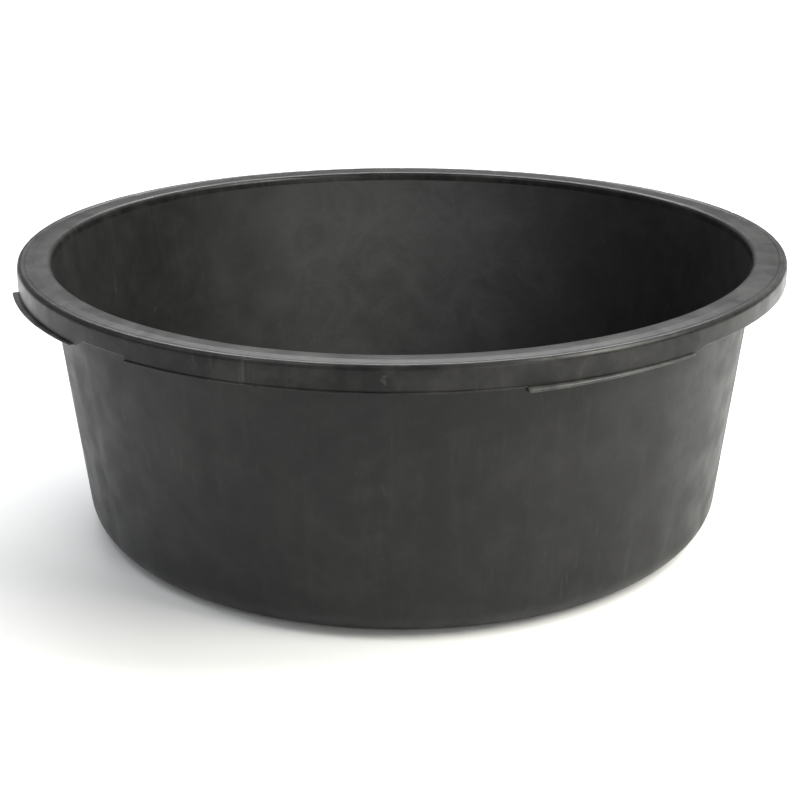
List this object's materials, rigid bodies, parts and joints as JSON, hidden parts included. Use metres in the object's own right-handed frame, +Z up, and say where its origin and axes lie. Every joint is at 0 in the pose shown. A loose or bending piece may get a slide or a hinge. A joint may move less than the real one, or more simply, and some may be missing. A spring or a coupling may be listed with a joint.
{
  "type": "mortar mixing tub",
  "caption": "Round black mixing tub with a flat floor, rounded heel, leaning wall and flat beaded rim, with a turned-down skirt, finger lips and ribs under the rim.",
  "frame": {"origin": "centre of the tub's flat underside, on the surface it stands on", "axes": "+Z up along the tub's axis; -Y is the side that faced the viewer, +X is to the viewer's right"},
  "size_m": [0.6704, 0.6736, 0.245],
  "materials": {
    "tub_polyethylene": "black moulded polyethylene, satin, lightly scuffed",
    "rim_polyethylene": "black moulded polyethylene, satin, worn a little lighter by handling"
  },
  "bodies": {
    "root": {"floor_panel": "tub_polyethylene", "heel_ring": "tub_polyethylene", "tub_wall": "tub_polyethylene", "rim_ledge": "rim_polyethylene", "rim_bead": "rim_polyethylene", "rim_skirt": "rim_polyethylene", "edge_lip_1": "rim_polyethylene", "edge_lip_2": "rim_polyethylene", "grip_lip_1": "rim_polyethylene", "grip_lip_2": "rim_polyethylene", "grip_lip_3": "rim_polyethylene", "grip_lip_4": "rim_polyethylene", "rim_rib_01": "rim_polyethylene", "rim_rib_02": "rim_polyethylene", "rim_rib_03": "rim_polyethylene", "rim_rib_04": "rim_polyethylene", "rim_rib_05": "rim_polyethylene", "rim_rib_06": "rim_polyethylene", "rim_rib_07": "rim_polyethylene", "rim_rib_08": "rim_polyethylene", "rim_rib_09": "rim_polyethylene", "rim_rib_10": "rim_polyethylene", "rim_rib_11": "rim_polyethylene", "rim_rib_12": "rim_polyethylene", "rim_rib_13": "rim_polyethylene", "rim_rib_14": "rim_polyethylene", "rim_rib_15": "rim_polyethylene", "rim_rib_16": "rim_polyethylene", "rim_rib_17": "rim_polyethylene", "rim_rib_18": "rim_polyethylene", "rim_rib_19": "rim_polyethylene", "rim_rib_20": "rim_polyethylene"}
  },
  "joints": []
}
